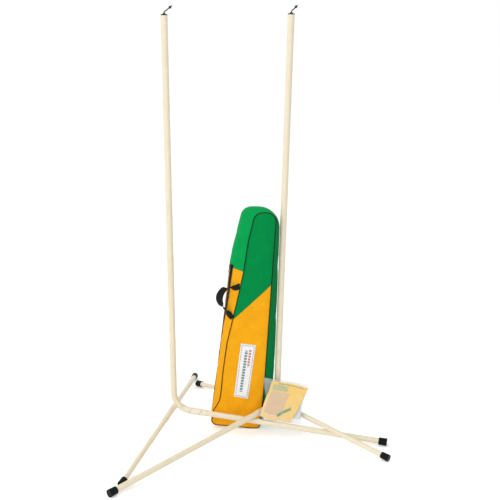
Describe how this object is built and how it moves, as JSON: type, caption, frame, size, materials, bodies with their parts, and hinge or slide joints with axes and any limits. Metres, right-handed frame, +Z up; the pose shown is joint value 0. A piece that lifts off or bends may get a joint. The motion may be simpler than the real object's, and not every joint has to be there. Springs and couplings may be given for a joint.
{
  "type": "portable net pole set",
  "caption": "Freestanding net pole stands with plug-in legs and crossbars and top hooks, shown with an upright zipped carry bag and a folded net in a clear pouch.",
  "frame": {"origin": "on the floor, at the middle of the set's footprint", "axes": "+Z up along the poles, +X from the left stand to the right stand, +Y away from the side that shows the bag's front and the pouch"},
  "size_m": [1.1486, 1.2371, 1.8385],
  "materials": {
    "cream_paint": "semi-gloss",
    "bare_steel": "satin",
    "foot_rubber": "matt",
    "cap_plastic": "matt",
    "hook_steel": "satin",
    "tape": "matt",
    "bag_fabric": "woven",
    "bag_piping": "matt",
    "zip_tape": "woven",
    "zip_metal": "satin",
    "webbing": "woven",
    "label": "satin",
    "clear_film": "clear",
    "leaflet": "satin",
    "net_yarn": "woven"
  },
  "bodies": {
    "left_stand": {"left_lower_pole": "cream_paint", "left_pole_coupler": "bare_steel", "left_crossbar_sleeve": "cream_paint", "left_hub_weld": "cream_paint", "left_front_arm": "cream_paint", "left_front_foot": "foot_rubber", "left_leg_wrap": "tape", "left_arm_band": "tape"},
    "left_upper_pole": {"left_upper_pole": "cream_paint", "left_pole_cap": "cap_plastic"},
    "left_hook": {"left_hook": "hook_steel"},
    "left_leg": {"left_leg": "cream_paint", "left_leg_foot": "foot_rubber"},
    "left_rear_arm": {"left_rear_arm": "cream_paint", "left_rear_foot": "foot_rubber"},
    "right_stand": {"right_lower_pole": "cream_paint", "right_pole_coupler": "bare_steel", "right_crossbar_sleeve": "cream_paint", "right_hub_weld": "cream_paint", "right_rear_arm": "cream_paint", "right_rear_foot": "foot_rubber", "right_pole_band": "tape"},
    "right_upper_pole": {"right_upper_pole": "cream_paint", "right_pole_cap": "cap_plastic"},
    "right_hook": {"right_hook": "hook_steel"},
    "right_leg": {"right_leg": "cream_paint", "right_leg_foot": "foot_rubber"},
    "right_front_arm": {"right_front_arm": "cream_paint", "right_front_foot": "foot_rubber"},
    "bag": {"bag_body": "bag_fabric", "bag_front_piping": "bag_piping", "bag_back_piping": "bag_piping", "bag_zip": "zip_tape", "bag_handle": "webbing", "bag_label": "label"},
    "zip_slider": {"zip_slider": "zip_metal"},
    "zip_puller": {"zip_puller": "zip_metal"},
    "pouch": {"pouch_front_film": "clear_film", "pouch_back_film": "clear_film", "pouch_leaflet": "leaflet", "folded_net": "net_yarn"}
  },
  "joints": [
    {"name": "left_upper_pole_pull", "type": "slide", "parent": "left_stand", "child": "left_upper_pole", "axis": [-0.002, -0.006, 1], "range_m": [0, 0.06]},
    {"name": "left_hook_swivel", "type": "hinge", "parent": "left_upper_pole", "child": "left_hook", "pos_m": [-0.35635, 0.0211, 1.8], "axis": [-0.002, -0.006, 1], "continuous": true},
    {"name": "left_leg_pull", "type": "slide", "parent": "left_stand", "child": "left_leg", "axis": [0.9762, -0.1997, -0.084], "range_m": [0, 0.048]},
    {"name": "left_rear_arm_pull", "type": "slide", "parent": "left_stand", "child": "left_rear_arm", "axis": [0.1051, 0.9836, -0.1466], "range_m": [0, 0.06]},
    {"name": "right_stand_lift", "type": "slide", "parent": "left_stand", "child": "right_stand", "axis": [0.031, 0.004, 0.9995], "range_m": [0, 0.3]},
    {"name": "right_upper_pole_pull", "type": "slide", "parent": "right_stand", "child": "right_upper_pole", "axis": [0.031, 0.004, 0.9995], "range_m": [0, 0.06]},
    {"name": "right_hook_swivel", "type": "hinge", "parent": "right_upper_pole", "child": "right_hook", "pos_m": [0.15605, 0.0701, 1.8], "axis": [0.031, 0.004, 0.9995], "continuous": true},
    {"name": "right_leg_pull", "type": "slide", "parent": "right_stand", "child": "right_leg", "axis": [-0.7018, -0.7062, -0.0933], "range_m": [0, 0.048]},
    {"name": "right_front_arm_pull", "type": "slide", "parent": "right_stand", "child": "right_front_arm", "axis": [0.7652, -0.6241, -0.1579], "range_m": [0, 0.06]},
    {"name": "bag_lift", "type": "slide", "parent": "right_stand", "child": "bag", "axis": [0, 0, 1], "range_m": [0, 0.15]},
    {"name": "zip_run", "type": "slide", "parent": "bag", "child": "zip_slider", "axis": [0.1323, 0, 0.9912], "range_m": [-0.6448, 0]},
    {"name": "puller_swing", "type": "hinge", "parent": "zip_slider", "child": "zip_puller", "pos_m": [-0.10225, 0.06633, 0.74205], "axis": [-0.3227, 0.9455, 0.0431], "range_deg": [0, 150]},
    {"name": "pouch_lift", "type": "slide", "parent": "right_stand", "child": "pouch", "axis": [0, -0.4226, 0.9063], "range_m": [0, 0.15]}
  ]
}
